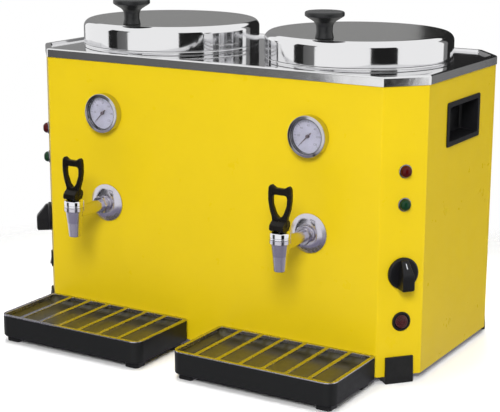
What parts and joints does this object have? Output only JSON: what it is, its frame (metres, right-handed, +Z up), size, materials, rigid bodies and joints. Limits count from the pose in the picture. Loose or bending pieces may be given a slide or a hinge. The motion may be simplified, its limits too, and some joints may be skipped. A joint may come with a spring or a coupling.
{
  "type": "milk dispenser",
  "caption": "Counter-top heated milk dispenser: a cut-cornered cabinet with round lidded wells, lever taps, dial thermometers, side controls and loose drip trays.",
  "frame": {"origin": "on the table, in the middle of the footprint from the front of the drip trays to the cable gland, midway between the sides", "axes": "+X to the right as seen from the front, +Y to the back, +Z up"},
  "size_m": [0.567, 0.4196, 0.4352],
  "materials": {
    "yellow_paint": "bright yellow stoved paint, satin gloss",
    "polished_steel": "mirror-polished stainless steel",
    "lid_steel": "stainless steel, polished skirt and matt brushed top",
    "tray_steel": "bright stainless steel sheet",
    "chrome_plate": "bright chrome plate",
    "grey_metal": "plain zinc-grey metal",
    "black_plastic": "black moulded plastic, satin",
    "black_rubber": "black rubber, matt",
    "clear_glass": "clear flat glass",
    "red_lens": "clear red moulded plastic",
    "green_lens": "clear green moulded plastic"
  },
  "bodies": {
    "cabinet": {"casing_wrap": "yellow_paint", "back_panel": "yellow_paint", "cable_gland": "black_plastic", "base_plate": "grey_metal", "top_tray": "polished_steel", "well_left": "polished_steel", "heater_left": "grey_metal", "lid_hinge_left": "polished_steel", "gauge_case_left": "chrome_plate", "gauge_glass_left": "clear_glass", "tap_body_left": "chrome_plate", "tap_rosette_left": "chrome_plate", "tap_nut_left": "grey_metal", "tap_bonnet_left": "chrome_plate", "red_lamp_bezel_left": "chrome_plate", "red_lamp_lens_left": "red_lens", "green_lamp_bezel_left": "chrome_plate", "green_lamp_lens_left": "green_lens", "thermostat_body_left": "grey_metal", "switch_body_left": "black_plastic", "side_grip_left": "black_plastic", "foot_front_left": "black_rubber", "foot_rear_left": "black_rubber", "well_right": "polished_steel", "heater_right": "grey_metal", "lid_hinge_right": "polished_steel", "gauge_case_right": "chrome_plate", "gauge_glass_right": "clear_glass", "tap_body_right": "chrome_plate", "tap_rosette_right": "chrome_plate", "tap_nut_right": "grey_metal", "tap_bonnet_right": "chrome_plate", "red_lamp_bezel_right": "chrome_plate", "red_lamp_lens_right": "red_lens", "green_lamp_bezel_right": "chrome_plate", "green_lamp_lens_right": "green_lens", "thermostat_body_right": "grey_metal", "switch_body_right": "black_plastic", "side_grip_right": "black_plastic", "foot_front_right": "black_rubber", "foot_rear_right": "black_rubber"},
    "lid_left": {"lid_left": "lid_steel", "lid_knob_left": "black_plastic"},
    "tap_stem_left": {"tap_stem_left": "grey_metal"},
    "tap_handle_left": {"tap_handle_left": "black_plastic"},
    "thermostat_knob_left": {"thermostat_knob_left": "black_plastic"},
    "switch_rocker_left": {"switch_rocker_left": "red_lens"},
    "gauge_needle_left": {"gauge_needle_left": "black_plastic"},
    "drip_tray_left": {"drip_tray_left": "black_plastic"},
    "drip_grille_left": {"drip_grille_left": "tray_steel"},
    "lid_right": {"lid_right": "lid_steel", "lid_knob_right": "black_plastic"},
    "tap_stem_right": {"tap_stem_right": "grey_metal"},
    "tap_handle_right": {"tap_handle_right": "black_plastic"},
    "thermostat_knob_right": {"thermostat_knob_right": "black_plastic"},
    "switch_rocker_right": {"switch_rocker_right": "red_lens"},
    "gauge_needle_right": {"gauge_needle_right": "black_plastic"},
    "drip_tray_right": {"drip_tray_right": "black_plastic"},
    "drip_grille_right": {"drip_grille_right": "tray_steel"}
  },
  "joints": [
    {"name": "lid_left_hinge", "type": "hinge", "parent": "cabinet", "child": "lid_left", "pos_m": [-0.141, 0.1691, 0.3749], "axis": [-1, 0, 0], "range_deg": [0, 95]},
    {"name": "tap_left_lever", "type": "hinge", "parent": "tap_stem_left", "child": "tap_handle_left", "pos_m": [-0.15, -0.1672, 0.2001], "axis": [1, 0, 0], "range_deg": [0, 52]},
    {"name": "tap_left_stem", "type": "slide", "parent": "cabinet", "child": "tap_stem_left", "axis": [0, 0, 1], "range_m": [0, 0.0035], "stiffness_N_per_m": 300, "springref_m": -0.004},
    {"name": "thermostat_left_turn", "type": "hinge", "parent": "cabinet", "child": "thermostat_knob_left", "pos_m": [-0.26307, -0.07375, 0.1364], "axis": [0.7566, 0.6539, 0], "range_deg": [0, 280]},
    {"name": "switch_left_rocker", "type": "hinge", "parent": "cabinet", "child": "switch_rocker_left", "pos_m": [-0.26307, -0.07375, 0.0765], "axis": [0.6539, -0.7566, 0], "range_deg": [0, 16]},
    {"name": "gauge_left_pointer", "type": "hinge", "parent": "cabinet", "child": "gauge_needle_left", "pos_m": [-0.15, -0.1042, 0.2935], "axis": [0, 1, 0], "range_deg": [0, 270], "stiffness_Nm_per_rad": 0.001},
    {"name": "drip_tray_left_slide", "type": "slide", "parent": "cabinet", "child": "drip_tray_left", "axis": [0, -1, 0], "range_m": [0, 0.12]},
    {"name": "drip_grille_left_lift", "type": "slide", "parent": "drip_tray_left", "child": "drip_grille_left", "axis": [0, 0, 1], "range_m": [0, 0.06]},
    {"name": "lid_right_hinge", "type": "hinge", "parent": "cabinet", "child": "lid_right", "pos_m": [0.141, 0.1691, 0.3749], "axis": [-1, 0, 0], "range_deg": [0, 95]},
    {"name": "tap_right_lever", "type": "hinge", "parent": "tap_stem_right", "child": "tap_handle_right", "pos_m": [0.15, -0.1672, 0.2001], "axis": [1, 0, 0], "range_deg": [0, 52]},
    {"name": "tap_right_stem", "type": "slide", "parent": "cabinet", "child": "tap_stem_right", "axis": [0, 0, 1], "range_m": [0, 0.0035], "stiffness_N_per_m": 300, "springref_m": -0.004},
    {"name": "thermostat_right_turn", "type": "hinge", "parent": "cabinet", "child": "thermostat_knob_right", "pos_m": [0.26307, -0.07375, 0.1364], "axis": [-0.7566, 0.6539, 0], "range_deg": [0, 280]},
    {"name": "switch_right_rocker", "type": "hinge", "parent": "cabinet", "child": "switch_rocker_right", "pos_m": [0.26307, -0.07375, 0.0765], "axis": [0.6539, 0.7566, 0], "range_deg": [0, 16]},
    {"name": "gauge_right_pointer", "type": "hinge", "parent": "cabinet", "child": "gauge_needle_right", "pos_m": [0.15, -0.1042, 0.2935], "axis": [0, 1, 0], "range_deg": [0, 270], "stiffness_Nm_per_rad": 0.001},
    {"name": "drip_tray_right_slide", "type": "slide", "parent": "cabinet", "child": "drip_tray_right", "axis": [0, -1, 0], "range_m": [0, 0.12]},
    {"name": "drip_grille_right_lift", "type": "slide", "parent": "drip_tray_right", "child": "drip_grille_right", "axis": [0, 0, 1], "range_m": [0, 0.06]}
  ],
  "couplings": [
    {"joint": "tap_left_lever", "follows": "tap_left_stem", "rad_per_m": 249.33},
    {"joint": "tap_right_lever", "follows": "tap_right_stem", "rad_per_m": 249.33}
  ]
}
